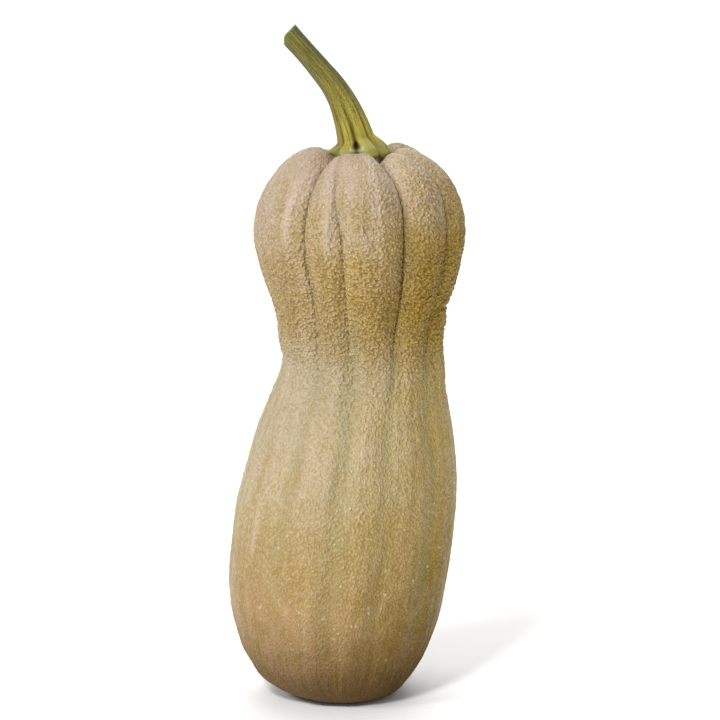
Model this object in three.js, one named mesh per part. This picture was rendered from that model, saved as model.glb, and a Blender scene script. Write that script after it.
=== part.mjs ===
// Butternut squash that stands on its blossom end: a ribbed fruit and a curved stem.
// Millimetres, Z up. The origin is the centre of the flat rest face and the front faces -Y.
import * as THREE from "three";

// Driving sizes of the fruit
const FRUIT_HEIGHT = 300;
const REST_RADIUS = 21;
const BELLY_RADIUS = 60.2;
const WAIST_RADIUS = 44.4;
const CROWN_RADIUS = 57.6;
const SEAT_RADIUS = 18.5;
const SEAT_DEPTH = 3;
const FRUIT_ROWS = 44;
const COLUMNS_PER_RIB = 8;

// Driving sizes of the stem
const STEM_GAP = 0.3;
const STEM_FOOT_RADIUS = 17;
const STEM_TIP_RADIUS = 5.8;
const STEM_RIDGES = 8;
const STEM_RIDGE_SHARE = 0.11;
const STEM_COLUMNS = 32;
const STEM_ROWS = 22;
const CUT_SLANT = 0.375;
const SLANT_START = 0.7;

// Outline of the fruit from its rest face up to the seat of the stem: radius, height, sideways lean
const OUTLINE = [
  [REST_RADIUS, 0, 0],
  [31, 3.2, -3.8],
  [40.2, 10.5, -6.8],
  [48.9, 23, -7.7],
  [55.2, 40, -7.1],
  [59, 61, -6.4],
  [BELLY_RADIUS, 87, -3.5],
  [59.5, 111, -0.9],
  [56.4, 132, 1.8],
  [52, 153, 3.8],
  [47.2, 170, 5.7],
  [WAIST_RADIUS, 183, 7.6],
  [44.9, 200, 6.2],
  [47, 214, 6],
  [51.6, 229, 5.8],
  [55.9, 245, 5.2],
  [CROWN_RADIUS, 258, 5],
  [55.6, 272, 4.9],
  [49.9, 284.5, 4.9],
  [42.6, 293.6, 4.8],
  [33.5, 298.6, 4.6],
  [26, FRUIT_HEIGHT, 4.4],
  [SEAT_RADIUS, FRUIT_HEIGHT - SEAT_DEPTH, 4.3],
];

// Grooves round the fruit: angle from the front at the stem, at the crown and at the belly, then depth
const GROOVES = [
  { stem: -92, crown: -88, belly: -80, depth: 5 },
  { stem: -34, crown: -33, belly: -36, depth: 5.5 },
  { stem: -14, crown: -9, belly: -5, depth: 2 },
  { stem: 33, crown: 28.5, belly: 20.5, depth: 6.5 },
  { stem: 80, crown: 59.5, belly: 50, depth: 4.5 },
  { stem: 110, crown: 97, belly: 94, depth: 5 },
  { stem: 143, crown: 140, belly: 136, depth: 5.5 },
  { stem: 175, crown: 176, belly: 172, depth: 2.5 },
  { stem: 207, crown: 206, belly: 207, depth: 5.5 },
  { stem: 238, crown: 240, belly: 245, depth: 4 },
];
const RIBS = GROOVES.length;
const FRUIT_COLUMNS = RIBS * COLUMNS_PER_RIB;
const BELLY_TOP = 130;
const NECK_TOP = 205;
const CROWN_START = 232;
const SHOULDER_START = 272;
const SHOULDER_END = 297;
const CROWN_FULL = 250;
const FURROW_SHARE = 0.2;
const DIP_SHARE = 0.6;
const DIP_WIDTH = 9;
const CREASE_WIDTH = 2.5;
const REST_FADE_ROWS = 4;
const SEAT_FADE_ROWS = 3;

const smooth = THREE.MathUtils.smoothstep;
const lerp = THREE.MathUtils.lerp;
const degToRad = THREE.MathUtils.degToRad;

// Angle of a groove at a height. Counting past the last groove goes round once more.
function grooveAngle(index, height) {
  const groove = GROOVES[index % RIBS];
  const low = lerp(groove.belly, groove.crown, smooth(height, BELLY_TOP, CROWN_START));
  const angle = lerp(low, groove.stem, smooth(height, SHOULDER_START, SHOULDER_END));
  return degToRad(angle + 360 * Math.floor(index / RIBS));
}

// How far a groove sinks the skin at an arc distance from it
function dip(index, distance) {
  const broad = Math.exp(-((distance / DIP_WIDTH) ** 2));
  const narrow = Math.exp(-distance / CREASE_WIDTH);
  return GROOVES[index % RIBS].depth * lerp(narrow, broad, DIP_SHARE);
}

// Rows of the outline with the direction that faces out of the skin at each
const curve = new THREE.CatmullRomCurve3(OUTLINE.map((station) => new THREE.Vector3(...station)));
const skinRows = Array.from({ length: FRUIT_ROWS + 1 }, (_, row) => {
  const point = curve.getPointAt(row / FRUIT_ROWS);
  const along = curve.getTangentAt(row / FRUIT_ROWS);
  const out = new THREE.Vector2(along.y, -along.x).normalize();
  const full = lerp(FURROW_SHARE, 1, smooth(point.y, NECK_TOP, CROWN_FULL));
  const ends = smooth(row, 0, REST_FADE_ROWS) * smooth(FRUIT_ROWS - row, 0, SEAT_FADE_ROWS);
  return { radius: point.x, height: point.y, lean: point.z, out, groove: full * ends };
});
const restCentre = { ...skinRows[0], radius: 0 };
const seatCentre = { ...skinRows[FRUIT_ROWS], radius: 0 };
const fruitRows = [restCentre, ...skinRows, seatCentre];

// The turned fruit, then each of its points moved in to the grooves and over to the lean
const fruitProfile = fruitRows.map((row) => new THREE.Vector2(row.radius, row.height));
const fruitShape = new THREE.LatheGeometry(fruitProfile, FRUIT_COLUMNS);
const fruitPoints = fruitShape.getAttribute("position");
for (let index = 0; index < fruitPoints.count; index++) {
  const row = fruitRows[index % fruitRows.length];
  const column = Math.floor(index / fruitRows.length) % FRUIT_COLUMNS;
  const rib = Math.floor(column / COLUMNS_PER_RIB);
  const share = (column % COLUMNS_PER_RIB) / COLUMNS_PER_RIB;
  const start = grooveAngle(rib, row.height);
  const end = grooveAngle(rib + 1, row.height);
  const angle = lerp(start, end, share);
  const fromStart = (angle - start) * row.radius;
  const fromEnd = (end - angle) * row.radius;
  const sink = row.groove * (dip(rib, fromStart) + dip(rib + 1, fromEnd));
  const radius = row.radius - row.out.x * sink;
  const height = row.height - row.out.y * sink;
  fruitPoints.setXYZ(index, row.lean + radius * Math.sin(angle), -radius * Math.cos(angle), height);
}

// Centre line of the stem from its foot to its cut end, in the plane that faces the front
const stemFoot = FRUIT_HEIGHT - SEAT_DEPTH + STEM_GAP;
const STEM_LINE = [
  [4.3, stemFoot],
  [3.6, 305],
  [1, 316],
  [-3, 326],
  [-8.1, 334.7],
  [-15.8, 344.5],
  [-31, 361.8],
];
const stemCurve = new THREE.CatmullRomCurve3(STEM_LINE.map(([x, z]) => new THREE.Vector3(x, 0, z)));

// Outline of the straight stem: radius and share of its length
const STEM_OUTLINE = [
  [STEM_FOOT_RADIUS, 0],
  [16.2, 0.045],
  [11.6, 0.095],
  [9.6, 0.17],
  [8.7, 0.28],
  [7.2, 0.44],
  [6.2, 0.63],
  [STEM_TIP_RADIUS, 1],
];
const stemStations = STEM_OUTLINE.map((station) => new THREE.Vector2(...station));
const stemProfileCurve = new THREE.SplineCurve(stemStations);
const stemProfile = [new THREE.Vector2(0, 0)];
for (let row = 0; row <= STEM_ROWS; row++) {
  stemProfile.push(stemProfileCurve.getPoint(row / STEM_ROWS));
}
stemProfile.push(new THREE.Vector2(0, 1));

// The turned stem, then each of its points ridged, bent along the centre line and slanted at the cut
const stemShape = new THREE.LatheGeometry(stemProfile, STEM_COLUMNS);
const stemPoints = stemShape.getAttribute("position");
for (let index = 0; index < stemPoints.count; index++) {
  const station = stemProfile[index % stemProfile.length];
  const column = Math.floor(index / stemProfile.length) % STEM_COLUMNS;
  const angle = (2 * Math.PI * column) / STEM_COLUMNS;
  const valley = (1 - Math.cos(STEM_RIDGES * angle)) / 2;
  const ridge = 1 - STEM_RIDGE_SHARE * valley;
  const radius = station.x * ridge;
  const acrossPart = radius * Math.sin(angle);
  const centre = stemCurve.getPointAt(station.y);
  const along = station.y === 0 ? new THREE.Vector3(0, 0, 1) : stemCurve.getTangentAt(station.y);
  const across = new THREE.Vector3(along.z, 0, -along.x);
  const slant = CUT_SLANT * acrossPart * smooth(station.y, SLANT_START, 1);
  centre.addScaledVector(across, acrossPart).addScaledVector(along, slant);
  stemPoints.setXYZ(index, centre.x, -radius * Math.cos(angle), centre.z);
}

// Finishes
const skin = new THREE.MeshStandardMaterial({ color: 0xc4a878, roughness: 0.6, metalness: 0 });
const bark = new THREE.MeshStandardMaterial({ color: 0x85803c, roughness: 0.5, metalness: 0 });

const squash = new THREE.Group();
const fruit = new THREE.Mesh(fruitShape, skin);
fruit.name = "fruit";
const stem = new THREE.Mesh(stemShape, bark);
stem.name = "stem";
squash.add(fruit, stem);

export default squash;
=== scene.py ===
# %% [markdown]
# A whole butternut squash of the large, wrinkled kind, standing on its blossom end.
# It has two pieces to make: the fruit, with its ribbed crown and bumpy skin, and the curved green stem.
# The script could hold sizes of its own, but the packed part is the fixed frame, so every size here
# starts from that part's own boxes and the two models can't drift apart.

# %% Load the frame
import math
import bpy
import numpy as np
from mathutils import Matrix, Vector, noise


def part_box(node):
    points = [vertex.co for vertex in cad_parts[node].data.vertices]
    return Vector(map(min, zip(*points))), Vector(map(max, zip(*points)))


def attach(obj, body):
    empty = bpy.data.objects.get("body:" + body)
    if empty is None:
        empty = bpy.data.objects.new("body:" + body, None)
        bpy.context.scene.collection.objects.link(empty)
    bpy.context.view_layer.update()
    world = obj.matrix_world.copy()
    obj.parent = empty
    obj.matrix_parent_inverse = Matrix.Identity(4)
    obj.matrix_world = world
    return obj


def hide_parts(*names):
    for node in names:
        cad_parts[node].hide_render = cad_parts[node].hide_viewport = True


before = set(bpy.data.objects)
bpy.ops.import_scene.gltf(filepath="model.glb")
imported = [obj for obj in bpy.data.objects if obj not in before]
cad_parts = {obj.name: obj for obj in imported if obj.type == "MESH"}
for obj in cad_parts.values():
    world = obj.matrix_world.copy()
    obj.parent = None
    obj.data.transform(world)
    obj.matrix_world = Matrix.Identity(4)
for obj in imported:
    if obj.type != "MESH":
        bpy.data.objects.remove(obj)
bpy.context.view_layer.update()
fruit_low, fruit_high = (np.array(corner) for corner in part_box("fruit"))
TALL = fruit_high[2] - fruit_low[2]
MM = 0.001
print("fruit is", round(TALL / MM, 1), "mm tall in the frame")

# %% [markdown]
# The outline of the fruit is a smooth line from the rest face, over the belly, waist and crown, into the
# dimple under the stem. It could be drawn as a curve object and spun. Here each station is a radius, a
# height and a sideways lean, all as shares of the fruit's height, and a spline joins them, because the
# skin is then a plain grid of rows and columns that grooves and bumps can be added to by sums.

# %% Stations of the outline
STATIONS = [
    (0.070, 0.0000, 0.0000),
    (0.103, 0.0105, -0.0127),
    (0.134, 0.0350, -0.0227),
    (0.163, 0.0767, -0.0257),
    (0.184, 0.1333, -0.0237),
    (0.1967, 0.2033, -0.0213),
    (0.2007, 0.2900, -0.0117),
    (0.1983, 0.3700, -0.0030),
    (0.1880, 0.4400, 0.0060),
    (0.1733, 0.5100, 0.0127),
    (0.1573, 0.5667, 0.0190),
    (0.1480, 0.6100, 0.0253),
    (0.1497, 0.6667, 0.0207),
    (0.1567, 0.7133, 0.0200),
    (0.1720, 0.7633, 0.0193),
    (0.1863, 0.8167, 0.0173),
    (0.1920, 0.8600, 0.0167),
    (0.1853, 0.9067, 0.0163),
    (0.1663, 0.9483, 0.0163),
    (0.1420, 0.9820, 0.0160),
    (0.1150, 1.0020, 0.0153),
    (0.0860, 1.0110, 0.0147),
    (0.0680, 1.0080, 0.0145),
    (0.0560, 0.9950, 0.0143),
    (0.0460, 0.9780, 0.0143),
    (0.0250, 0.9660, 0.0143),
    (0.0000, 0.9610, 0.0143),
]


def spline(stations, places):
    """Points of a smooth line through the stations, at places from 0 to 1 along it."""
    points = np.array(stations, float)
    spans = np.linalg.norm(np.diff(points, axis=0), axis=1)
    knots = np.concatenate([[0], np.cumsum(spans)])
    slopes = np.gradient(points, knots, axis=0)
    along = np.ravel(places) * knots[-1]
    index = np.clip(np.searchsorted(knots, along, side="right") - 1, 0, len(spans) - 1)
    span = spans[index][:, None]
    t = (along - knots[index])[:, None] / span
    start = points[index] * (1 + 2 * t) * (1 - t) ** 2 + slopes[index] * span * t * (1 - t) ** 2
    end = points[index + 1] * (3 - 2 * t) * t * t - slopes[index + 1] * span * t * t * (1 - t)
    return start + end


print("outline stations", len(STATIONS))

# %% [markdown]
# Rows of the grid lie along that line. Even rows would do for a smooth fruit, but the crown carries the
# coarsest lumps and the sharpest creases, so its rows are packed closer. A few more rows close the flat
# rest face. Every row also keeps the direction that faces out of the skin, because bumps rise along it.

# %% Rows of the outline
ROWS = 600
REST_ROWS = 16
CROWN_FINENESS = 0.8
FINER_BAND = (0.56, 0.66)


def smoothstep(value, low, high):
    """0 below low, 1 above high and a smooth climb between."""
    share = np.clip((value - low) / (high - low), 0, 1)
    return share * share * (3 - 2 * share)


even_places = np.linspace(0, 1, 2 * ROWS)
fineness = 1 + CROWN_FINENESS * smoothstep(spline(STATIONS, even_places)[:, 1], *FINER_BAND)
row_share = np.cumsum(fineness) - fineness[0]
row_places = np.interp(np.linspace(0, row_share[-1], ROWS), row_share, even_places)
outline = spline(STATIONS, row_places) * TALL
rest_rows = np.zeros((REST_ROWS, 3))
rest_rows[:, 0] = np.linspace(0, outline[0, 0], REST_ROWS, endpoint=False)
outline = np.concatenate([rest_rows, outline])
radius, height, lean = (column[:, None] for column in outline.T)
steps = np.linalg.norm(np.diff(outline[:, :2], axis=0), axis=1)
arc = np.concatenate([[0], np.cumsum(steps)])[:, None]
along = np.gradient(outline[:, :2], arc[:, 0], axis=0)
along /= np.linalg.norm(along, axis=1, keepdims=True)
out_radius = along[:, 1:2]
out_height = -along[:, 0:1]
level = height / TALL
print("outline rows", len(outline), "widest radius in mm", round(radius.max() / MM, 1))

# %% [markdown]
# Grooves run from the stem to the blossom end and split the skin into ribs. On the crown they're deep
# creases between swollen lobes, and below the waist they're shallow furrows. They could be sculpted by
# hand. Here the columns of the grid follow the grooves, so every crease lies on an edge of the mesh and
# stays sharp. Each rib gets as many columns as its width at the crown calls for.

# %% Grooves and ribs
# Angle from the front in degrees at the stem, the shoulder, the crown and the belly, then the depth in
# millimetres of the crease and of the furrow, then the share of the crease that is left beside the stem
GROOVES = [
    (-92, -90, -88, -80, 5.0, 1.1, 1.0),
    (-34, -34.5, -33.3, -36, 7.0, 1.2, 1.0),
    (-14, -16, -9.2, -5, 5.2, 2.4, 0.0),
    (33, 30.5, 28.5, 20.5, 8.0, 1.4, 1.0),
    (80, 66, 59.5, 50, 4.0, 1.5, 0.6),
    (110, 106, 97, 94, 4.5, 1.2, 1.0),
    (143, 142, 140, 136, 6.0, 1.5, 1.0),
    (175, 175, 176, 172, 2.6, 1.1, 0.5),
    (207, 207, 206, 207, 6.0, 1.6, 1.0),
    (238, 239, 240, 245, 4.5, 1.2, 1.0),
]
ANGLES = 4
COLUMNS = 600
FULL_TURN = 360

first_again = np.array(GROOVES[0], float)
first_again[:ANGLES] += FULL_TURN
turns = np.array(GROOVES + [tuple(first_again)], float).T
stem_turn, shoulder_turn, crown_turn, belly_turn, crease_depth, furrow_depth, top_share = turns
rib_counts = np.round(np.diff(crown_turn) / FULL_TURN * COLUMNS).astype(int)
rib = np.repeat(np.arange(len(GROOVES)), rib_counts)
rib_share = np.concatenate([np.arange(count) / count for count in rib_counts])
print("columns", len(rib), "ribs", len(GROOVES))

# %% [markdown]
# A groove wanders a little on its way up, because the fruit twisted as it grew. One angle for each groove
# would look turned on a lathe. So its angle changes from belly to crown, to shoulder, to stem, each over
# a band of levels, where a level is a height as a share of the fruit's height.

# %% Angles of the columns
CROWN_TURN_BAND = (0.50, 0.77)
SHOULDER_TURN_BAND = (0.86, 0.975)
STEM_TURN_BAND = (0.9, 0.95)
STEM_TURN_RADII = (0.055 * TALL, 0.1 * TALL)

run = belly_turn + (crown_turn - belly_turn) * smoothstep(level, *CROWN_TURN_BAND)
run = run + (shoulder_turn - crown_turn) * smoothstep(level, *SHOULDER_TURN_BAND)
beside_stem = smoothstep(level, *STEM_TURN_BAND) * (1 - smoothstep(radius, *STEM_TURN_RADII))
run = np.radians(run + (stem_turn - shoulder_turn) * beside_stem)
angle = run[:, rib] + (run[:, rib + 1] - run[:, rib]) * rib_share
print("points of the skin", angle.size)

# %% [markdown]
# Where two swollen ribs meet, the skin dips broadly and ends in a sharp line. One bell curve would give a
# soft dent and one spike a scratch, so a crease is a blend of both. On the belly the same grooves are
# only wide and shallow. A third, very narrow shape marks the line of painted shade down each crease.

# %% Shapes of a groove
DIP_WIDTH = 9.5 * MM
FULL_DIP_RADIUS = 0.16 * TALL
LEAST_DIP = 0.35
CREASE_WIDTH = 1.4 * MM
CREASE_SHARE = 0.38
FURROW_WIDTH = 6.0 * MM
# Width of the line of painted shade in each crease
SHADE_LINE_WIDTH = 0.7 * MM

from_start = (angle - run[:, rib]) * radius
from_end = (run[:, rib + 1] - angle) * radius
dip_width = DIP_WIDTH * np.clip(radius / FULL_DIP_RADIUS, LEAST_DIP, 1)


def crease_shape(distance):
    broad = np.exp(-((distance / dip_width) ** 2))
    narrow = np.exp(-distance / CREASE_WIDTH)
    return broad + CREASE_SHARE * (narrow - broad)


def furrow_shape(distance):
    return np.exp(-((distance / FURROW_WIDTH) ** 2))


def shade_line_shape(distance):
    return np.exp(-distance / SHADE_LINE_WIDTH)


def both_sides(shape, weight):
    """A groove shape measured from the grooves on both sides of a rib, each with its own weight."""
    return shape(from_start) * weight[:, rib] + shape(from_end) * weight[:, rib + 1]


print("widest rib in mm", round((from_start + from_end).max() / MM, 1))

# %% [markdown]
# The lobes of the crown are the ribs swollen between their creases, each by its own amount, and they stand
# at slightly different heights round the stem. Modelling ten lobes and joining them would leave seams. So
# the one skin sinks at the grooves, swells between them and drops a little where a lobe is lower.

# %% Lobes and furrows
CROWN_BAND = (0.60, 0.81)
OPEN_BAND = (0.54, 0.80)
DIMPLE_RADII = (0.04 * TALL, 0.07 * TALL)
REST_FADE = 0.06 * TALL
CREASE_END_BAND = (0.965, 1.015)
LOWERED_BAND = (0.94, 1.0)
RIB_SWELL = [0.4, 0.4, 1.2, 0.0, 0.3, 0.8, 0.0, -0.6, -1.4, -1.4]
# Angle from the front in degrees and how far the top of the crown is lowered there in millimetres
TOP_DROPS = [
    (-66, 0.0),
    (10, -2.4),
    (60, -2.2),
    (126, -1.5),
    (191, -2.0),
    (222, -3.0),
    (253, -3.0),
    (294, 0.0),
]

crown = smoothstep(level, *CROWN_BAND)
crown_open = smoothstep(level, *OPEN_BAND) * smoothstep(radius, *DIMPLE_RADII)
rest_fade = smoothstep(height, 0, REST_FADE)
near_top = np.maximum.accumulate(smoothstep(level, *CREASE_END_BAND), axis=0)
crease_depths = crease_depth * (1 - (1 - top_share) * near_top)
furrow = both_sides(furrow_shape, furrow_depth[None, :])
sink = crown_open * both_sides(crease_shape, crease_depths) * MM
sink += furrow * MM * (1 - crown) * rest_fade
swell = crown_open * np.array(RIB_SWELL)[rib] * MM * np.sin(np.pi * rib_share)
drop_turns, drops = np.array(TOP_DROPS).T
turn_here = (np.degrees(angle) - drop_turns[0]) % FULL_TURN + drop_turns[0]
drop = np.interp(turn_here, drop_turns, drops) * MM
rise = swell - sink + drop * np.maximum.accumulate(smoothstep(level, *LOWERED_BAND), axis=0)
# Painted shade: a dark line down each crease of the crown
crease = np.clip(crown_open * both_sides(shade_line_shape, crease_depths / crease_depth.max()), 0, 1)
print("deepest groove in mm", round(sink.max() / MM, 1))

# %% [markdown]
# The skin is warty. Lumps like packed pebbles cover the crown, and below the waist the grain is fine and
# drawn out upwards. A displacement modifier could do it. Here all of it is real relief in the mesh, made
# from noise measured in millimetres on the smooth skin, because the colours can then use the same noise.
# Patterns that follow the ribs are measured on the skin laid out flat along its rows and columns, and a
# small drift keeps each pattern from looking ruled. Blender picks where the drift starts by the clock, so
# it is given a seed, and every run grows the same fruit.

# %% Noise over the skin
FLOW_RADIUS = 50 * MM
DRIFT_SIZE = 4.5
DRIFT_SEED = 5


def lift_skin(lift):
    """Points of the skin with each row lifted along its own outward direction."""
    r = radius + out_radius * lift
    z = height + out_height * lift
    return np.stack([lean + r * np.sin(angle), -r * np.cos(angle), z], axis=2)


spots = lift_skin(rise).reshape(-1, 3) / MM
flow = np.stack([FLOW_RADIUS * np.sin(angle), FLOW_RADIUS * np.cos(angle), arc + 0 * angle], axis=2)
flow_spots = flow.reshape(-1, 3) / MM


def over_skin(measure, size, points=spots):
    """Value of a noise at every point, with its features of the given size in millimetres."""
    values = np.array([measure(spot) for spot in (points / np.array(size)).tolist()])
    return values.reshape(angle.shape + values.shape[1:])


def drift_of(spot):
    return tuple(noise.noise_vector(spot))


noise.seed_set(DRIFT_SEED)
drift = over_skin(drift_of, DRIFT_SIZE).reshape(-1, 3)
print("drift spread", drift.std().round(3))

# %% [markdown]
# Lumps, wrinkles, grain, streaks and puckers each have a size of their own. One noise of many scales could
# stand for all of them, but then none could be weakened alone. So each is one noise with two sizes across
# and one upwards: equal sizes give round lumps, a short last one wrinkles that lie round the waist, and a
# long one streaks that run up the fruit. Pebbles and specks come from cells packed side by side.

# %% Patterns of the skin
PEBBLE_SIZE = (2.1, 2.1, 1.9)
PEBBLE_DRIFT = 0.45
PEBBLE_EDGE = 0.95
LUMP_SIZE = 13
PATCH_SIZE = 30
WRINKLE_SIZE = (6.0, 6.0, 2.1)
WRINKLE_DRIFT = 1.2
GRAIN_SIZE = (2.0, 2.0, 2.8)
GRAIN_DRIFT = 0.7
STREAK_SIZE = (4.0, 4.0, 40)
STREAK_DRIFT = 0.5
PUCKER_SIZE = (1.7, 1.7, 30)
PUCKER_DRIFT = 0.4
SPECK_SIZE = (6.5, 6.5, 8)
CELL_SHUFFLE = 3.7


def hills(spot):
    return noise.noise(spot, noise_basis="PERLIN_NEW")


def cells(spot):
    """Distance to the nearest cell's middle, and a number of that cell's own."""
    distances, places = noise.voronoi(spot)
    return distances[0], noise.noise(places[0] * CELL_SHUFFLE)


pebble_cells = over_skin(cells, PEBBLE_SIZE, spots + PEBBLE_DRIFT * drift)
pebble = 1 - smoothstep(pebble_cells[:, :, 0], 0.0, PEBBLE_EDGE)
lumps = over_skin(hills, LUMP_SIZE)
patches = over_skin(hills, PATCH_SIZE)
wrinkles = over_skin(hills, WRINKLE_SIZE, spots + WRINKLE_DRIFT * drift)
grain = over_skin(hills, GRAIN_SIZE, flow_spots + GRAIN_DRIFT * drift)
streaks = over_skin(hills, STREAK_SIZE, flow_spots + STREAK_DRIFT * drift)
puckers = over_skin(hills, PUCKER_SIZE, flow_spots + PUCKER_DRIFT * drift)
speck_cells = over_skin(cells, SPECK_SIZE)
print("pebble mean", pebble.mean().round(3), "grain spread", grain.std().round(3))

# %% [markdown]
# Each lobe of the crown ends in a ragged lip just above the waist, where the skin has sagged and wrinkled.
# A lip could be a separate fold of mesh. A raised step at each rib's own level, with a ragged edge, looks
# much the same from outside and keeps the skin one closed sheet.

# %% Lips of the lobes
LIP_LEVELS = np.array([0.650, 0.688, 0.700, 0.712, 0.690, 0.665, 0.680, 0.672, 0.660, 0.675])
LUMP_RAGGEDNESS = 0.012
WRINKLE_RAGGEDNESS = 0.008
LIP_BELOW = 0.007
LIP_ABOVE = 0.008
LIP_FADE = 0.10
LIP_MEAN = 0.6
LIP_CHANGE = 0.8

lip_level = LIP_LEVELS[rib]
ragged = level + LUMP_RAGGEDNESS * lumps + WRINKLE_RAGGEDNESS * wrinkles
cap = smoothstep(ragged, lip_level - LIP_BELOW, lip_level + LIP_ABOVE)
lip_end = 1 - smoothstep(level, lip_level, lip_level + LIP_FADE)
lip = cap * lip_end * (LIP_MEAN + LIP_CHANGE * patches)
print("highest lip, before its height in mm", lip.max().round(2))

# %% [markdown]
# The bumps aren't the same all over. They come in slowly up the belly, are strongest just above the waist
# and fade again toward the stem. The strength is a sum of smooth climbs by level, because a painted mask
# would have to be painted again after each change of the outline.

# %% Strength of the bumps
# Change of the strength, and the levels where it starts and ends
COARSE_CLIMBS = [(0.2, 0.2, 0.45), (0.3, 0.44, 0.60), (0.5, 0.55, 0.70)]
COARSE_FALLS = [(0.3, 0.78, 0.92), (0.55, 0.92, 1.0)]
LOW_SKIN_BAND = (0.56, 0.70)

coarse = sum(gain * smoothstep(level, low, high) for gain, low, high in COARSE_CLIMBS)
for loss, low, high in COARSE_FALLS:
    coarse = coarse * (1 - loss * smoothstep(level, low, high))
low_skin = 1 - smoothstep(level, *LOW_SKIN_BAND)
print("strongest bumps at level", level[coarse.argmax(), 0].round(2))

# %% [markdown]
# A few marks stand out on the real fruit: dents in the front lobe, raised ridges down two lobes on the left,
# whose paleness is painted highlight, scars and pimples on the belly and one fold at the right of the waist.
# Each could be sculpted with a brush. Here each is one smooth bump with its place, its half sizes, its lift
# and its paleness in a row of a table, because a mark that is a bit off is then moved by one number.

# %% Dents, ridges, scars and pimples
# Angle from the front in degrees, level, half width, half length and lift in millimetres, paleness
MARKS = [
    (5.0, 0.893, 1.6, 8, -0.9, 0),
    (9.0, 0.880, 1.5, 9, -0.7, 0),
    # Painted highlight: the paleness of the next two rows, the ridges on the left lobes
    (-43, 0.910, 2.6, 19, 1.1, 0.8),
    (-17, 0.905, 2.3, 20, 1.1, 0.8),
    (-53, 0.317, 1.2, 8.5, 0.35, 0.7),
    (-17, 0.159, 1.0, 7.5, 0.35, 0.35),
    (38.8, 0.216, 0.9, 5, 0.3, 0.4),
    (-13.5, 0.238, 1.4, 1.3, 1.0, 0.6),
    (-17.5, 0.128, 1.2, 1.2, 0.9, 0.6),
    (-18.5, 0.095, 1.0, 5, 0.5, 0.4),
    (84, 0.725, 22, 1.6, -1.6, 0),
]
PIMPLE_PICK = (0.0, 0.25)
PIMPLE_RADIUS = 0.17
PIMPLE_SLOPE = 0.12


def turn_between(degrees, turn):
    """Angle from a turn to each of the others, from -180 to 180 degrees."""
    return (degrees - turn + FULL_TURN / 2) % FULL_TURN - FULL_TURN / 2


marks = np.zeros(angle.shape)
pale = np.zeros(angle.shape)
for turn, mark_level, half_width, half_length, lift, paleness in MARKS:
    across = np.radians(turn_between(np.degrees(angle), turn)) * radius / MM / half_width
    upward = (height - mark_level * TALL) / MM / half_length
    mark = np.exp(-(across**2) - upward**2)
    marks += lift * mark
    pale = np.maximum(pale, paleness * mark)
picked = smoothstep(speck_cells[:, :, 1], *PIMPLE_PICK)
pimple = picked * smoothstep(PIMPLE_RADIUS - speck_cells[:, :, 0], 0, PIMPLE_SLOPE) * low_skin
print("marks", len(MARKS), "share of the skin under small pimples", (pimple > 0.5).mean().round(4))

# %% [markdown]
# The relief is what every pattern adds to the skin, in millimetres. Bump in a material alone would leave
# the edge of the fruit smooth against the background, so all that can be seen there is lifted for real.
# The relief fades out on the rest face, so that the squash stands flat, and in the dimple of the stem.

# %% Relief of the skin
PEBBLE_HEIGHT = 1.1
PEBBLE_MIDDLE = 0.5
WRINKLE_HEIGHT = 0.2
GRAIN_HEIGHT = 0.22
STREAK_HEIGHT = 0.4
PUCKER_HEIGHT = 0.7
LUMP_HEIGHT = 0.4
LIP_HEIGHT = 1.3
PIMPLE_HEIGHT = 0.35
PUCKER_BAND = (0.04, 0.2)
CALM_RADII = (0.02 * TALL, 0.05 * TALL)

puckered = (1 - smoothstep(level, *PUCKER_BAND)) * puckers
bumps = PEBBLE_HEIGHT * coarse * (pebble - PEBBLE_MIDDLE) + WRINKLE_HEIGHT * coarse * wrinkles
bumps = bumps + GRAIN_HEIGHT * low_skin * grain
fine_lines = STREAK_HEIGHT * low_skin * streaks + PUCKER_HEIGHT * puckered
relief = bumps + fine_lines + LUMP_HEIGHT * lumps + LIP_HEIGHT * lip + PIMPLE_HEIGHT * pimple + marks
relief *= rest_fade * smoothstep(radius, *CALM_RADII)
skin_points = lift_skin(rise + relief * MM)
skin_points[:, :, 2] = np.maximum(skin_points[:, :, 2], 0)
print("relief in mm from", relief.min().round(2), "to", relief.max().round(2))

# %% [markdown]
# Both pieces are grids of rings that close to a point at each end. Blender could skin such rings with its
# own bridge tool, but then the order of the points is Blender's. Building the faces here keeps that order,
# so a value such as a tone can be stored on each point and read by the material under its title.

# %% Mesh from a grid
def grid_mesh(name, points, fields):
    """Closed mesh from rows of rings, of which the first and last are single points, and its values."""
    rows, columns = points.shape[:2]
    body = points[1:-1].reshape(-1, 3)
    bottom = len(body)
    index = np.arange(bottom).reshape(rows - 2, columns)
    right = np.roll(index, -1, axis=1)
    quads = np.stack([index[:-1], right[:-1], right[1:], index[1:]], axis=2).reshape(-1, 4).tolist()
    ends = [(bottom, b, a) for a, b in zip(index[0].tolist(), right[0].tolist())]
    ends += [(bottom + 1, a, b) for a, b in zip(index[-1].tolist(), right[-1].tolist())]
    mesh = bpy.data.meshes.new(name)
    mesh.from_pydata(np.concatenate([body, points[0, :1], points[-1, :1]]).tolist(), [], quads + ends)
    for title, field in fields.items():
        depth = field.shape[2:]
        values = np.concatenate([field[1:-1].reshape(-1, *depth), field[0, :1], field[-1, :1]])
        kind, part = ("FLOAT_VECTOR", "vector") if depth else ("FLOAT", "value")
        kept = mesh.attributes.new(title, kind, "POINT")
        kept.data.foreach_set(part, values.ravel().astype(np.float32))
    mesh.shade_smooth()
    piece = bpy.data.objects.new(name, mesh)
    bpy.context.scene.collection.objects.link(piece)
    return piece


print("rings of the fruit", skin_points.shape[0], "points in each", skin_points.shape[1])

# %% [markdown]
# The colour of the skin changes slowly over the fruit. The middle, the foot, the lips and the top of the
# crown each have colours of their own. It could be painted on an image. Here each zone is a number from 0
# to 1 on every point, worked out from level and angle, because such a rule is easy to read and to change.

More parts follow.
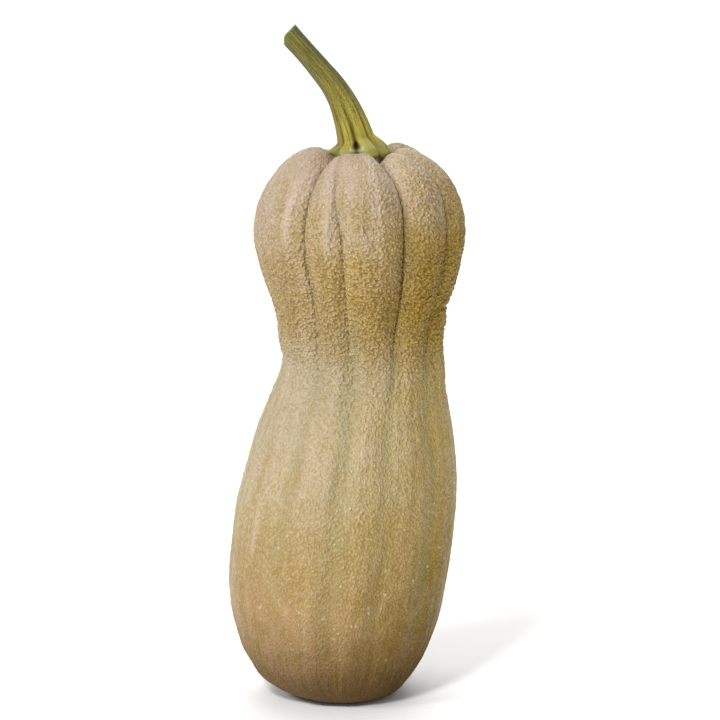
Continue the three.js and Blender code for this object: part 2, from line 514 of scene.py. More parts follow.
# %% Zones of the skin
LEFT_TURN = math.radians(45)
UPPER_BAND = (0.76, 1.04)
UPPER_UNEVEN = 0.05
MIDDLE_IN = (0.25, 0.42)
MIDDLE_OUT = (0.60, 0.72)
LOW_BAND = (0.14, 0.56)
PATCH_UNEVEN = 0.06
LUMP_UNEVEN = 0.05
LIP_ZONE_IN = (0.60, 0.75)
LIP_ZONE_OUT = (0.75, 1.02)
LIP_ZONE_MOST = 0.85
LIP_ZONE_LOSS = 0.5

toward_left = 0.5 + 0.5 * np.cos(angle + LEFT_TURN)
upper = smoothstep(level + UPPER_UNEVEN * patches, *UPPER_BAND)
middle = smoothstep(level, *MIDDLE_IN) * (1 - smoothstep(level, *MIDDLE_OUT))
low_zone = 1 - smoothstep(level, *LOW_BAND)
uneven = level + PATCH_UNEVEN * patches + LUMP_UNEVEN * lumps
lip_zone = LIP_ZONE_MOST * smoothstep(uneven, *LIP_ZONE_IN) * (1 - smoothstep(uneven, *LIP_ZONE_OUT))
lip_zone = lip_zone * (1 - LIP_ZONE_LOSS * toward_left**2)
print("mean of the upper zone", upper.mean().round(3), "and of the lip zone", lip_zone.mean().round(3))

# %% [markdown]
# A waxy, greyish bloom lies over the golden skin, most on the left and behind and least on the right, and on
# the left, where the light falls, the same pale tone is also painted sheen. It could be one fade from left
# to right, but bloom rubs off unevenly, so it is a weighted sum of the zones and two slow noises. The other
# tones are green in the furrows, a blush low on the left, mauve on the left shoulder and, at the blossom
# end, soil that is partly painted shade.

# %% Tones of the skin
BLOOM_AND_SHEEN_BASE = -0.3
BLOOM_AND_SHEEN_TOP_BAND = (0.96, 1.005)
BEHIND_BAND = (-0.5, 0.6)
FULL_FURROW = 1.5
GREEN_BAND = (0.05, 0.2)
BLUSH_BAND = (0.12, 0.36)
BLUSH_RIGHT = 0.1
BLUSH_LEFT = 0.9
CROWN_BLUSH = 0.4
CROWN_BLUSH_PATCHES = (-0.1, 0.5)
MAUVE_BAND = (0.84, 1.0)
SOIL_AND_SHADE_BAND = (0.02, 0.22)
SOIL_AND_SHADE_LOSS = 0.25

# The bloom is also painted sheen, strongest on the lit left side
bloom_parts = [
    (1.15, toward_left),
    (0.3, upper),
    (-0.35, lip_zone),
    (0.2, middle),
    (-0.12, low_zone),
    (0.2, patches),
    (0.15, lumps),
    (0.5, smoothstep(level, *BLOOM_AND_SHEEN_TOP_BAND)),
    (0.45, smoothstep(-np.cos(angle), *BEHIND_BAND)),
]
bloom = BLOOM_AND_SHEEN_BASE + sum(weight * tone for weight, tone in bloom_parts)
green = (1 - crown) * np.clip(furrow / FULL_FURROW, 0, 1) * smoothstep(level, *GREEN_BAND)
blush = (1 - smoothstep(level, *BLUSH_BAND)) * (BLUSH_RIGHT + BLUSH_LEFT * toward_left**2)
blush = blush + CROWN_BLUSH * toward_left**3 * smoothstep(patches, *CROWN_BLUSH_PATCHES) * crown
mauve = toward_left**4 * smoothstep(uneven, *MAUVE_BAND)
# Soil and painted shade: the blossom end darkens toward the floor, less on the lit left side
soil = (1 - smoothstep(level, *SOIL_AND_SHADE_BAND)) * (1 - SOIL_AND_SHADE_LOSS * toward_left)
print("mean bloom", np.clip(bloom, 0, 1).mean().round(3), "mean blush", blush.mean().round(3))

# %% [markdown]
# The fruit is one closed mesh that rides on the part's only body and takes the place of its plain solid.
# It could be split rib by rib, but a real skin has no seams. What the finish will need goes with it as
# named values on its points, such as how high each lies on its own bump, so colour and relief agree.

# %% Fruit piece
GRAIN_MIDDLE = 0.5
GRAIN_CONTRAST = 0.7
PALE_CALM = 0.6
PIMPLE_PALENESS = 0.6

fine_knob = np.clip(GRAIN_MIDDLE + GRAIN_CONTRAST * grain, 0, 1)
skin_fields = {
    "knob": coarse * pebble + (1 - coarse) * fine_knob,
    "upper": upper,
    "low": low_zone + 0 * angle,
    "lip_zone": lip_zone,
    "mauve": mauve,
    "bloom": np.clip(bloom, 0, 1),
    "green": green,
    "blush": blush,
    "soil": soil,
    "crease": crease,
    "coarse": coarse * (1 - PALE_CALM * pale),
    "streak": streaks + puckered,
    "pale": np.maximum(pale, PIMPLE_PALENESS * pimple),
    "flow": flow,
}
fruit = grid_mesh("fruit_skin", skin_points, skin_fields)
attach(fruit, "root")
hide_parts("fruit")
print("fruit faces", len(fruit.data.polygons), "points", len(fruit.data.vertices))

# %% [markdown]
# The stem is a stalk that leans to the left, thins toward its tip and ends in a slanted cut. A curve with
# a round bevel would give the line but not the ridges. So it is a grid of rings too: a spline gives the
# middle of each ring, another its radius, and the rings near the foot are held level.

# %% Line of the stem
# Sideways place and height as shares of the fruit's height
STEM_LINE = [
    (0.0178, 0.9915),
    (0.0130, 1.0190),
    (0.0033, 1.0533),
    (-0.0100, 1.0867),
    (-0.0270, 1.1157),
    (-0.0527, 1.1483),
    (-0.1050, 1.2080),
]
# Share of the stem's length and radius as a share of the fruit's height
STEM_RADII = [
    (0.0000, 0.0345),
    (0.0800, 0.0342),
    (0.1500, 0.0325),
    (0.2700, 0.0290),
    (0.4400, 0.0240),
    (0.6300, 0.0207),
    (0.9000, 0.0190),
    (1.0000, 0.0197),
]
STEM_ROWS = 220
STEM_COLUMNS = 240
FOOT_CROWDING = 1.25
RADIUS_SAMPLES = 400
LEVEL_FOOT = 0.12

up_stem = (np.linspace(0, 1, STEM_ROWS) ** FOOT_CROWDING)[:, None]
line = spline(STEM_LINE, up_stem) * TALL
stem_length = np.linalg.norm(np.diff(line, axis=0), axis=1).sum()
climb = up_stem * stem_length
radii = spline(STEM_RADII, np.linspace(0, 1, RADIUS_SAMPLES))
stem_radius = np.interp(up_stem, radii[:, 0], radii[:, 1]) * TALL
stem_angle = np.linspace(-math.pi, math.pi, STEM_COLUMNS, endpoint=False)[None, :]
tangent = np.gradient(line, up_stem[:, 0], axis=0)
tangent /= np.linalg.norm(tangent, axis=1, keepdims=True)
base_turn = smoothstep(up_stem, 0, LEVEL_FOOT)
tangent = tangent * base_turn + np.array([0, 1]) * (1 - base_turn)
tangent /= np.linalg.norm(tangent, axis=1, keepdims=True)
print("stem length in mm", round(stem_length / MM, 1))

# %% [markdown]
# Wide grooves run up the stem from between its toes and fade toward the tip, with fine raised lines between
# them. They could be cut from the stalk one by one. Here a groove is a bell curve round the ring that takes
# a share of the radius away, and a line is a narrow one that adds to it, so they follow the bend for free.

# %% Grooves and fine lines of the stem
# Angle from the front in degrees, depth as a share of the radius, half width in degrees
STEM_GROOVES = [
    (-47, 0.14, 9),
    (-1, 0.28, 8),
    (52, 0.26, 8),
    (108, 0.18, 11),
    (162, 0.22, 11),
    (225, 0.20, 11),
]
GROOVE_FOOT_SHARE = 0.75
GROOVE_FOOT_CLIMB = (1.5 * MM, 6 * MM)
GROOVE_FADE = 0.8
GROOVE_FADE_BAND = (0.14, 0.6)
FINE_LINE_TURNS = [-26, -12, 17, 36, 130, 250]
FINE_LINE_WIDTH = 3
FINE_LINE_BAND = (0.12, 0.3)


def stem_turn_from(turn):
    return turn_between(np.degrees(stem_angle), turn)


foot_run = GROOVE_FOOT_SHARE + (1 - GROOVE_FOOT_SHARE) * smoothstep(climb, *GROOVE_FOOT_CLIMB)
groove_run = foot_run * (1 - GROOVE_FADE * smoothstep(up_stem, *GROOVE_FADE_BAND))
stem_grid = (STEM_ROWS, STEM_COLUMNS)
valley = np.zeros(stem_grid)
cutback = np.zeros(stem_grid)
for turn, depth_share, half_width in STEM_GROOVES:
    groove = np.exp(-((stem_turn_from(turn) / half_width) ** 2)) * groove_run
    valley = np.maximum(valley, groove)
    cutback += depth_share * groove
fine_line = np.zeros(stem_grid)
for turn in FINE_LINE_TURNS:
    raised = np.exp(-((stem_turn_from(turn) / FINE_LINE_WIDTH) ** 2))
    fine_line = np.maximum(fine_line, raised * smoothstep(up_stem, *FINE_LINE_BAND))
print("stem grooves", len(STEM_GROOVES), "deepest share", cutback.max().round(2))

# %% [markdown]
# At the fruit the stem spreads into blunt toes that lie on the crown, with a thin web between them and one
# small pit with a pale rim at the front. Separate toes would need joining. So each toe is a flat-topped
# curve round the ring that pushes the foot outward, only over the lowest few millimetres.

# %% Toes, web and pit
# Angle from the front in degrees, reach in millimetres, half width in degrees
TOES = [
    (-86, 5.2, 16),
    (-30, 5.2, 22),
    (29, 6.0, 23),
    (84, 6.4, 17),
    (135, 6.0, 20),
    (188, 6.5, 24),
    (228, 6.5, 15),
]
TOE_TALL = 10 * MM
TOE_BULGE = 3.2 * MM
TOE_TOP = 1.3 * TOE_BULGE
WEB_TALL = 5 * MM
WEB_TOP = 0.4 * WEB_TALL
WEB_REACH = 1.0 * MM
PIT_TURN = -1
PIT_CLIMB = 6.6 * MM
PIT_HALF_WIDTH = 9
PIT_HALF_TALL = 1.7 * MM
PIT_RIM = 1.5
PIT_RIM_WIDTH = 0.3
PIT_RIM_FADE = 1 * MM

toe_flare = smoothstep(climb, -TOE_BULGE, TOE_BULGE) * (1 - smoothstep(climb, TOE_TOP, TOE_TALL))
toe = np.zeros((1, STEM_COLUMNS))
for turn, reach, half_width in TOES:
    toe = np.maximum(toe, reach * MM * np.exp(-((stem_turn_from(turn) / half_width) ** 4)))
web = WEB_REACH * (1 - smoothstep(climb, WEB_TOP, WEB_TALL))
from_pit = np.hypot(stem_turn_from(PIT_TURN) / PIT_HALF_WIDTH, (climb - PIT_CLIMB) / PIT_HALF_TALL)
pit = np.exp(-(from_pit**4))
pit_rim = np.exp(-(((from_pit - PIT_RIM) / PIT_RIM_WIDTH) ** 2))
pit_rim = pit_rim * smoothstep(PIT_CLIMB - climb, -PIT_RIM_FADE, PIT_RIM_FADE)
print("toes", len(TOES), "longest reach in mm", round(toe.max() / MM, 1))

# %% [markdown]
# The stalk is fibrous, and its foot is lumpy. A texture could show that, but not at the stem's edge. So both
# are noise measured on the stem laid out flat, long along the fibres and round at the foot, and the sum of
# it all is the radius that the stem has grown to at each point of each ring.

# %% Radius of the stem
STEM_FLOW_RADIUS = 10 * MM
FIBRE_SIZE = np.array([1.6, 1.6, 22])
FOOT_LUMP_SIZE = 4
FIBRE_SHARE = 0.03
FINE_LINE_SHARE = 0.03
PIT_RIM_SHARE = 0.07
PIT_SHARE = 0.22
FOOT_LUMP_HEIGHT = 1.2 * MM

side = np.sin(stem_angle)
facing = np.cos(stem_angle)
everywhere = np.ones(stem_grid)
stem_flow = np.stack(
    [STEM_FLOW_RADIUS * side * everywhere, STEM_FLOW_RADIUS * facing * everywhere, climb * everywhere],
    axis=2,
)


def over_stem(size):
    """Noise at every point of the stem, with its features of the given size in millimetres."""
    stem_spots = (stem_flow / MM / size).reshape(-1, 3)
    return np.array([noise.noise(spot) for spot in stem_spots.tolist()]).reshape(stem_grid)


swells = FIBRE_SHARE * over_stem(FIBRE_SIZE) + FINE_LINE_SHARE * fine_line
swells = swells + PIT_RIM_SHARE * pit_rim - PIT_SHARE * pit
grown = stem_radius * (1 - cutback + swells) + toe * toe_flare + web
grown = grown + FOOT_LUMP_HEIGHT * over_stem(FOOT_LUMP_SIZE) * toe_flare
print("widest stem radius in mm", round(grown.max() / MM, 1))

# %% [markdown]
# Each ring is laid across the line of the stem. The knife went through at a slant and pulled the left edge
# back, which a plain slice with the bisect tool wouldn't show, so the last rings shift along the stem by
# different amounts round them. Smaller rings inside the last one close the cut and sink it a little.

# %% Points of the stem
TOE_DROOP = 0.6 * MM
CUT_ROWS = 12
CUT_SINK = 1.5 * MM
CUT_BAND = (0.75, 1)
CUT_SIDE_TILT = 0.08
CUT_FRONT_TILT = 0.08
CUT_PULL = 0.8
CUT_PULL_START = 0.1
CUT_LENGTHEN = 0.25

around = grown * side
front = -grown * facing
pull = CUT_PULL * np.clip(-side - CUT_PULL_START, 0, 1) ** 2
end_shift = stem_radius[-1] * (CUT_SIDE_TILT * side + CUT_FRONT_TILT * facing - pull + CUT_LENGTHEN)
slant = end_shift * smoothstep(up_stem, *CUT_BAND)
stem_x = line[:, 0:1] + tangent[:, 1:2] * around + tangent[:, 0:1] * slant
stem_z = line[:, 1:2] - tangent[:, 0:1] * around + tangent[:, 1:2] * slant
stem_z = stem_z - TOE_DROOP * toe / toe.max() * toe_flare
stem_points = np.stack([stem_x, front, stem_z], axis=2)
tip = stem_points[-1]
tip_centre = tip.mean(axis=0)
cut_steps = np.linspace(1, 0, CUT_ROWS + 1)[1:, None, None]
sunk = CUT_SINK * (1 - cut_steps**2) * np.array([tangent[-1, 0], 0, tangent[-1, 1]])
cut_points = tip_centre + (tip - tip_centre) * cut_steps - sunk
foot_centre = stem_points[:1] * 0 + stem_points[0].mean(axis=0)
stem_points = np.concatenate([foot_centre, stem_points, cut_points])
print("stem top in mm", round(stem_points[:, :, 2].max() / MM, 1))

# %% [markdown]
# The stem could be joined to the fruit, but a real one snaps off, so it is a mesh of its own and takes the
# place of the part's stem. Its values for the finish are known on its side only, so the foot and the cut
# get plain values.

# %% Stem piece
CUT_EDGE_BAND = (0.985, 1)


def with_ends(field, foot_value, cut_value):
    """Values of the stem's side with one value for its foot and one for its cut end."""
    foot = np.full((1,) + field.shape[1:], foot_value)
    return np.concatenate([foot, field, np.full((CUT_ROWS,) + field.shape[1:], cut_value)])


stem_fields = {
    "valley": with_ends(valley, 0, 0),
    "up_stem": with_ends(up_stem * everywhere, 0, 1),
    "foot": with_ends(toe_flare * everywhere, 1, 0),
    "side": with_ends(side * everywhere, 0, 0),
    "ridge": with_ends(fine_line, 0, 0),
    "cut": with_ends(smoothstep(up_stem, *CUT_EDGE_BAND) * everywhere, 0, 1),
    "pit": with_ends(pit, 0, 0),
    "pit_lip": with_ends(pit_rim, 0, 0),
    "flow": with_ends(stem_flow, 0, 0),
}
stem = grid_mesh("stem_stalk", stem_points, stem_fields)
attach(stem, "root")
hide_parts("stem")
print("stem faces", len(stem.data.polygons))

# %% [markdown]
# A finish is a sum of noises and of the values kept on the mesh. Its nodes could be wired by hand in the
# shader editor. Here one small class stands for a socket, and sums written with it add the nodes, because
# a line such as 1 - mask says more than three nodes and four links do.

# %% Shader maths
MIX_FACTOR = 0
MIX_FIRST = 6
MIX_SECOND = 7
MIX_COLOUR = 2
SAME_SCALE = (1, 1, 1)


class Wire:
    """One socket of a material, so that shader maths reads as plain sums."""

    def __init__(self, tree, socket=None):
        self.tree = tree
        self.socket = socket

    def node(self, kind, settings=None, values=None, out=0):
        """Add a node, set its settings and then its sockets, and give back one of its outputs."""
        made = self.tree.nodes.new(kind)
        for title, value in (settings or {}).items():
            setattr(made, title, value)
        for title, value in (values or {}).items():
            if isinstance(value, Wire):
                self.tree.links.new(value.socket, made.inputs[title])
            else:
                made.inputs[title].default_value = value
        return Wire(self.tree, made.outputs[out])

    def feed(self, shader, title):
        """Link this value to a socket of a shader."""
        self.tree.links.new(self.socket, shader.inputs[title])

    def maths(self, operation, first, second):
        return self.node("ShaderNodeMath", {"operation": operation}, {0: first, 1: second})

    def __add__(self, other):
        return self.maths("ADD", self, other)

    def __radd__(self, other):
        return self.maths("ADD", other, self)

    def __sub__(self, other):
        return self.maths("SUBTRACT", self, other)

    def __rsub__(self, other):
        return self.maths("SUBTRACT", other, self)

    def __mul__(self, other):
        return self.maths("MULTIPLY", self, other)

    def __rmul__(self, other):
        return self.maths("MULTIPLY", other, self)

    def vector(self, operation, first, second):
        return self.node("ShaderNodeVectorMath", {"operation": operation}, {0: first, 1: second})

    def ramp(self, low, high):
        """0 below low, 1 above high and smooth between."""
        ends = {"From Min": low, "From Max": high, "Value": self}
        return self.node("ShaderNodeMapRange", {"interpolation_type": "SMOOTHSTEP"}, ends)

    def blend(self, first, second):
        """Colour between the first and the second, by this value from 0 to 1."""
        values = {MIX_FACTOR: self, MIX_FIRST: first, MIX_SECOND: second}
        return self.node("ShaderNodeMix", {"data_type": "RGBA"}, values, MIX_COLOUR)

    def kept(self, title):
        """Value kept on the mesh under a title."""
        return self.node("ShaderNodeAttribute", {"attribute_name": title}, out="Fac")

    def flow(self, stretch=SAME_SCALE):
        """Place on the piece's own lines from end to end, in metres, scaled across and along them."""
        on_lines = self.node("ShaderNodeAttribute", {"attribute_name": "flow"}, out="Vector")
        return self.vector("MULTIPLY", on_lines, stretch)

    def where(self, stretch=SAME_SCALE):
        """Place on the object in metres, scaled along each axis."""
        return self.vector("MULTIPLY", self.node("ShaderNodeTexCoord", out="Object"), stretch)


print("a wire can", ", ".join(title for title in vars(Wire) if not title.startswith("_")))

# %% [markdown]
# Three patterns are too fine for the mesh: soft specks, packed domes and strewn flecks. They could be more
# rows and columns, but the mesh would grow tenfold. As shader noise in real metres they keep their size on
# the fruit and can drive colour and a fine bump together.

# %% Fine patterns
WAVER_SCALE = 0.6
NOISE_MIDDLE = (0.5, 0.5, 0.5)
DOME_EDGE = 0.85
FLECK_EDGE = (0.15, 0.4)
PICK_SOFTNESS = 0.02
CELL_NOISE = {"feature": "F1"}


def speckle(wire, size, place, detail):
    """Noise with features of a size in metres."""
    return wire.node("ShaderNodeTexNoise", None, {"Vector": place, "Scale": 1 / size, "Detail": detail})


def domes(wire, size, place, stray):
    """Round bumps packed side by side: 1 on their tops and 0 between them."""
    waver = wire.node("ShaderNodeTexNoise", None, {"Vector": place, "Scale": WAVER_SCALE / size}, "Color")
    shift = wire.vector("MULTIPLY", wire.vector("SUBTRACT", waver, NOISE_MIDDLE), (stray, stray, stray))
    values = {"Vector": wire.vector("ADD", place, shift), "Scale": 1 / size}
    return 1 - wire.node("ShaderNodeTexVoronoi", CELL_NOISE, values).ramp(0.0, DOME_EDGE)


def flecks(wire, size, place, share):
    """Small spots strewn about: 1 on a spot, for a share of the places where one could be."""
    values = {"Vector": place, "Scale": 1 / size}
    near = 1 - wire.node("ShaderNodeTexVoronoi", CELL_NOISE, values).ramp(*FLECK_EDGE)
    pick = wire.node("ShaderNodeTexVoronoi", CELL_NOISE, values, "Color")
    return near * pick.ramp(1 - share, 1 - share + PICK_SOFTNESS)


def paint(code):
    """Colour for a socket from six hex digits, by the standard curve of screens."""
    parts = [int(code[i : i + 2], 16) / 255 for i in (0, 2, 4)]
    return tuple(p / 12.92 if p <= 0.04045 else ((p + 0.055) / 1.055) ** 2.4 for p in parts) + (1,)


def layered(colour, layers):
    """Colour with others laid over it in turn, each by a mask, a strength and six hex digits."""
    for mask, strength, code in layers:
        colour = (mask * strength).blend(colour, paint(code))
    return colour


def new_material(name):
    material = bpy.data.materials.new(name)
    material.use_nodes = True
    return material, material.node_tree.nodes["Principled BSDF"]


print("a mid grey is", [round(part, 3) for part in paint("808080")])

# %% [markdown]
# The skin's finish starts from its patterns. Beads cover the pebbles of the crown, grains cover the belly,
# and pale flecks gather there in patches. One pattern all over would be simpler, but the two skins differ
# too much, so rough tops says how high a point lies on whichever is there. Cloudy mottling and fine pores
# break up what would look too even.

# %% Patterns of the skin's finish
MOTTLE_SIZE = 0.009
MOTTLE_DETAIL = 4
GRAIN_DOME = 0.0011
GRAIN_STRAY = 0.0003
BEAD_DOME = 0.0017
BEAD_STRAY = 0.0002
PORE_SIZE = 0.0008
PORE_DETAIL = 2
FLECK_SIZE = 0.0024
FLECK_SHARE = 0.4
FLECK_PATCHES = (0.42, 0.62)
DRAWN_UP = (1, 1, 0.65)
COARSE_KNOB = 0.45
COARSE_BEADS = 0.62
FINE_GRAINS = 0.7
FINE_KNOB = 0.3

skin, skin_shader = new_material("squash_skin")
wire = Wire(skin.node_tree)
knob = wire.kept("knob")
coarse_here = wire.kept("coarse")
fine_here = 1 - coarse_here
mottle = speckle(wire, MOTTLE_SIZE, wire.where(), MOTTLE_DETAIL)
grains = domes(wire, GRAIN_DOME, wire.flow(DRAWN_UP), GRAIN_STRAY)
beads = domes(wire, BEAD_DOME, wire.where(), BEAD_STRAY)
pores = speckle(wire, PORE_SIZE, wire.where(), PORE_DETAIL)
fleck = flecks(wire, FLECK_SIZE, wire.flow(DRAWN_UP), FLECK_SHARE) * mottle.ramp(*FLECK_PATCHES)
rough_tops = coarse_here * (COARSE_KNOB * knob + COARSE_BEADS * beads)
rough_tops = rough_tops + fine_here * (FINE_GRAINS * grains + FINE_KNOB * knob)
print("nodes for the patterns", len(skin.node_tree.nodes))

# %% [markdown]
# Two skins lie over each other, the golden one and its waxy bloom, which on the lit left is also painted
# sheen. Each is paler on its tops than on the ground between them, partly its own colour and partly painted
# shade in the hollows between the bumps. That makes four palettes of four zones. A single ramp of colours
# couldn't keep the tops and the ground apart, so the zones are blended first, then bloom, then tops.

# %% Palettes of the skin
# Colours of the middle, the foot, the lips and the top
# Palettes of the bloom, which is also painted sheen on the lit left side
BLOOM_AND_SHEEN_TOPS = ("bfb09c", "bda67e", "c6a874", "cbbfb5")
BLOOM_AND_SHEEN_GROUND = ("9e8c67", "987e48", "7c5d16", "9b8458")
GOLD_TOPS = ("c6a64c", "9c7a0e", "bc9a48", "b59a62")
GOLD_GROUND = ("987b28", "6e5602", "6e5008", "7a5e22")
TOPS_COVER = 1.2
BARE_COVER = -0.15
MOTTLE_COVER = 0.5
PORE_COVER = 1.0
STREAK_COVER = 0.3
NOISE_MEAN = 0.5


def zoned(palette):
    """Colour of the middle of the fruit that turns into others low down, at the lips and on top."""
    middle_paint, low_paint, lip_paint, top_paint = (paint(code) for code in palette)
    colour = wire.kept("low").blend(middle_paint, low_paint)
    colour = wire.kept("lip_zone").blend(colour, lip_paint)
    return wire.kept("upper").blend(colour, top_paint)


bloom_here = wire.kept("bloom")
ground = bloom_here.blend(zoned(GOLD_GROUND), zoned(BLOOM_AND_SHEEN_GROUND))
tops = bloom_here.blend(zoned(GOLD_TOPS), zoned(BLOOM_AND_SHEEN_TOPS))
clouds = MOTTLE_COVER * (mottle - NOISE_MEAN) + PORE_COVER * (pores - NOISE_MEAN)
# The ground between the bumps is darker, partly its own colour and partly painted shade in the hollows
cover = TOPS_COVER * rough_tops + BARE_COVER + clouds + STREAK_COVER * wire.kept("streak")
skin_colour = cover.blend(ground, tops)
print("nodes with the palettes", len(skin.node_tree.nodes))

# %% [markdown]
# Thin tones could be mixed into the palettes, but then each would be written four times. Here they go over
# them in the order in which they lie on the fruit, with the soil and painted shade of the blossom end and
# the painted shade of the creases last. The wax is glossier on the tops, and the blossom end is dull. A fine
# bump from the same patterns catches the light, on top of the real relief.

# %% Tones, gloss and bump of the skin
SKIN_GLOSS = 0.29
SKIN_GLOSS_TINT = (1, 0.9, 0.58, 1)
SKIN_ROUGHNESS = 0.5
TOPS_POLISH = 0.25
BLOSSOM_END_DULLNESS = 0.4
SKIN_BUMP = 0.001
BEAD_BUMP = 1.15
KNOB_BUMP = 0.3
GRAIN_BUMP = 0.6
FLECK_BUMP = 0.7
PORE_BUMP = 0.25
GREEN_MOTTLE = (0.25, 0.6)
BLUSH_MOTTLE = (0.2, 0.7)
CREASE_SHADE_RAMP = (0.1, 1.2)

# Mask, strength and colour of each tone
skin_layers = [
    (wire.kept("mauve"), 0.5, "9a8677"),
    (wire.kept("green") * mottle.ramp(*GREEN_MOTTLE), 0.35, "868658"),
    (wire.kept("blush") * mottle.ramp(*BLUSH_MOTTLE), 0.5, "b58c6e"),
    (fleck * fine_here, 0.6, "d0c3a0"),
    # pale scars and pimples, and painted highlight on the two ridges
    (wire.kept("pale"), 0.6, "c6b5a8"),
    # soil and painted shade at the blossom end
    (wire.kept("soil"), 0.95, "4a2e02"),
    # painted shade along the creases
    (wire.kept("crease").ramp(*CREASE_SHADE_RAMP), 0.8, "46321a"),
]
layered(skin_colour, skin_layers).feed(skin_shader, "Base Color")
skin_rough = SKIN_ROUGHNESS - TOPS_POLISH * rough_tops + BLOSSOM_END_DULLNESS * wire.kept("soil")
skin_rough.feed(skin_shader, "Roughness")
skin_shader.inputs["Specular IOR Level"].default_value = SKIN_GLOSS
skin_shader.inputs["Specular Tint"].default_value = SKIN_GLOSS_TINT
tiny = coarse_here * (BEAD_BUMP * beads + KNOB_BUMP * knob)
tiny = tiny + fine_here * (GRAIN_BUMP * grains + FLECK_BUMP * fleck) + PORE_BUMP * pores
bump = wire.node("ShaderNodeBump", None, {"Strength": 1.0, "Distance": SKIN_BUMP, "Height": tiny})
bump.feed(skin_shader, "Normal")
fruit.data.materials.append(skin)
print("nodes of the skin", len(skin.node_tree.nodes))

# %% [markdown]
# The stem is olive green and darker toward its tip, with painted shade down its left edge and painted shade
# and a greyish painted sheen down its right side, stripes along its fibres, dark pores between them, a paler
# foot, brown painted shade in its grooves and dark painted shade in the pit. Its cut end is pale and dry.
# One image of bark would smear at the toes, so the stripes are noise drawn out along the stem's own lines.

# %% Stem finish
STRIPE_SIZE = 0.0007
STRIPE_DETAIL = 3
ALONG_FIBRES = (1, 1, 0.07)
STEM_PORE_SIZE = 0.0008
STEM_PORE_STRAY = 0.0004
STEM_PORE_STRETCH = (1, 1, 0.8)
LOW_GREEN = "a89a3c"
HIGH_GREEN = "7c7736"
GREEN_CHANGE = (0.25, 0.8)
PALE_STRIPES = (0.5, 0.7)
DARK_STRIPES = (0.5, 0.68)
LINE_STRIPES = (0.35, 0.55)
RIGHT_SHADE_AND_SHEEN = (0.2, 1.0)
RIGHT_START = (0.2, 0.6)
LEFT_SHADE = (0.55, 1.0)
PORE_HOLES = (0.5, 1.0)
PORES_START = (0.1, 0.4)
GROOVE_SHADE = (0.35, 1)
STEM_GLOSS = 0.3
STEM_ROUGHNESS = 0.45
FOOT_POLISH = 0.2
STEM_BUMP = 0.0008
PORE_DEPTH = 0.8

stalk, stalk_shader = new_material("squash_stem")
wire = Wire(stalk.node_tree)
up = wire.kept("up_stem")
right_side = wire.kept("side")
foot_here = wire.kept("foot")
stripes = speckle(wire, STRIPE_SIZE, wire.flow(ALONG_FIBRES), STRIPE_DETAIL)
stem_pores = domes(wire, STEM_PORE_SIZE, wire.flow(STEM_PORE_STRETCH), STEM_PORE_STRAY)
stem_colour = up.ramp(*GREEN_CHANGE).blend(paint(LOW_GREEN), paint(HIGH_GREEN))
# Mask, strength and colour of each tone
stem_layers = [
    (stripes.ramp(*PALE_STRIPES), 0.5, "8d7f30"),
    ((1 - stripes).ramp(*DARK_STRIPES), 0.6, "3d3a12"),
    # painted shade and painted sheen down the right side
    (right_side.ramp(*RIGHT_SHADE_AND_SHEEN) * up.ramp(*RIGHT_START), 0.55, "4d5536"),
    (wire.kept("ridge") * stripes.ramp(*LINE_STRIPES), 0.6, "b8aa55"),
    # painted shade along the left edge
    ((0 - right_side).ramp(*LEFT_SHADE), 0.35, "55481c"),
    (foot_here, 0.7, "88864e"),
    (wire.kept("pit_lip"), 0.7, "c9cca0"),
    ((1 - stem_pores).ramp(*PORE_HOLES) * up.ramp(*PORES_START), 0.4, "3f3d14"),
    # painted shade in the grooves
    (wire.kept("valley").ramp(*GROOVE_SHADE), 0.65, "4a3a22"),
    # painted shade in the pit
    (wire.kept("pit"), 0.9, "3f353c"),
    (wire.kept("cut"), 1.0, "a3ab8a"),
]
layered(stem_colour, stem_layers).feed(stalk_shader, "Base Color")
stem_rough = STEM_ROUGHNESS - FOOT_POLISH * foot_here
stem_rough.feed(stalk_shader, "Roughness")
stalk_shader.inputs["Specular IOR Level"].default_value = STEM_GLOSS
fibres = stripes + PORE_DEPTH * stem_pores * up.ramp(*PORES_START)
bump = wire.node("ShaderNodeBump", None, {"Strength": 1.0, "Distance": STEM_BUMP, "Height": fibres})
bump.feed(stalk_shader, "Normal")
stem.data.materials.append(stalk)
print("nodes of the stem", len(stalk.node_tree.nodes))

# %% [markdown]
# The squash stands on a sheet of white paper that curves up behind it, so no line shows where floor and
# wall meet. A plane and a separate wall would show one. The sheet is a strip of faces through a few
# points, and it is stage, not part of the squash.

# %% Paper
# Depth and height of the sheet in metres
SWEEP = [(-3.0, 0.0), (1.6, 0.0), (2.0, 0.05), (2.35, 0.2), (2.6, 0.5), (2.7, 0.9), (2.7, 3.5)]
PAPER_EDGES = (-4, 4)
PAPER_WHITE = (0.93, 0.93, 0.93, 1)
PAPER_ROUGHNESS = 0.9

paper = bpy.data.meshes.new("paper_sweep")
corners = [(edge, y, z) for y, z in SWEEP for edge in PAPER_EDGES]
strips = [(2 * i, 2 * i + 1, 2 * i + 3, 2 * i + 2) for i in range(len(SWEEP) - 1)]
paper.from_pydata(corners, [], strips)
paper.shade_smooth()
floor = bpy.data.objects.new("paper_sweep", paper)
bpy.context.scene.collection.objects.link(floor)
paper_finish, paper_shader = new_material("paper")
paper_shader.inputs["Base Color"].default_value = PAPER_WHITE
paper_shader.inputs["Roughness"].default_value = PAPER_ROUGHNESS
paper.materials.append(paper_finish)
print("paper strips", len(strips))

# %% [markdown]
# Two soft lights stand to the left and in front, so the right side falls into shade, and a third keeps the
# paper behind white. A bright room fills the shadows. Area lights were chosen over a sun, because their
# size sets how soft the edge of the shadow is. The plain view transform keeps the colours as they're mixed.

# %% Lights
SQUASH_MIDDLE = (0, 0, 0.2)
PAPER_MIDDLE = (0, 2.4, 0.6)
ROOM_STRENGTH = 0.42
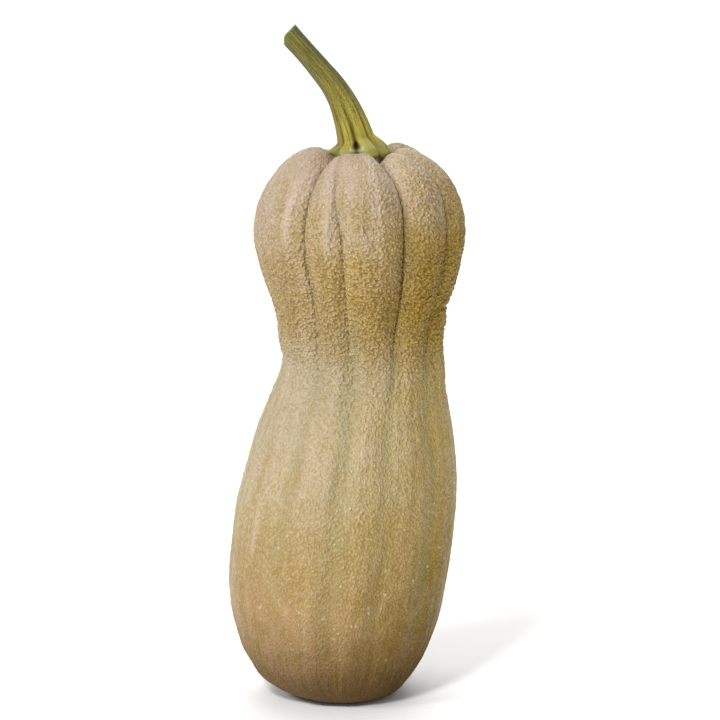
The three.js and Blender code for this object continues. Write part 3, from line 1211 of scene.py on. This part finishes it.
# Name, place, aim, size in metres and power in watts
LIGHTS = [
    ("key", (-1.55, -1.2, 1.35), SQUASH_MIDDLE, 0.4, 16),
    ("front_key", (-0.75, -2.0, 1.8), SQUASH_MIDDLE, 0.4, 44),
    ("backdrop", (0, 1.2, 2.6), PAPER_MIDDLE, 2.5, 60),
]


def facing_turn(spot, aim):
    """Rotation that points a light or a camera from a spot at an aim."""
    return (Vector(aim) - Vector(spot)).to_track_quat("-Z", "Y").to_euler()


for name, spot, aim, size, power in LIGHTS:
    lamp = bpy.data.lights.new(name, "AREA")
    lamp.size = size
    lamp.energy = power
    lamp_object = bpy.data.objects.new(name, lamp)
    lamp_object.location = spot
    lamp_object.rotation_euler = facing_turn(spot, aim)
    bpy.context.scene.collection.objects.link(lamp_object)
world = bpy.data.worlds.new("room")
world.use_nodes = True
room = world.node_tree.nodes["Background"]
room.inputs["Color"].default_value = (1, 1, 1, 1)
room.inputs["Strength"].default_value = ROOM_STRENGTH
bpy.context.scene.world = world
bpy.context.scene.view_settings.view_transform = "Standard"
print("lights", len(LIGHTS), "total power in watts", sum(light[-1] for light in LIGHTS))

# %% [markdown]
# The camera looks down a little from the front, as a person at a table does. A short lens close by would
# make the crown look big and the foot small, so a long lens from two metres away was chosen.

# %% Camera
AIM = Vector((0.006, 0, 0.1858))
DISTANCE = 2.1
LOOK_DOWN = math.radians(12)
SENSOR_WIDTH = 36
LENS = 195
FAR_LIMIT = 20

camera = bpy.data.cameras.new("camera")
camera.sensor_width = SENSOR_WIDTH
camera.lens = LENS
camera.clip_end = FAR_LIMIT
viewer = bpy.data.objects.new("camera", camera)
viewer.location = AIM + DISTANCE * Vector((0, -math.cos(LOOK_DOWN), math.sin(LOOK_DOWN)))
viewer.rotation_euler = facing_turn(viewer.location, AIM)
bpy.context.scene.collection.objects.link(viewer)
bpy.context.scene.camera = viewer
print("camera at", [round(part, 3) for part in viewer.location])

# %% [markdown]
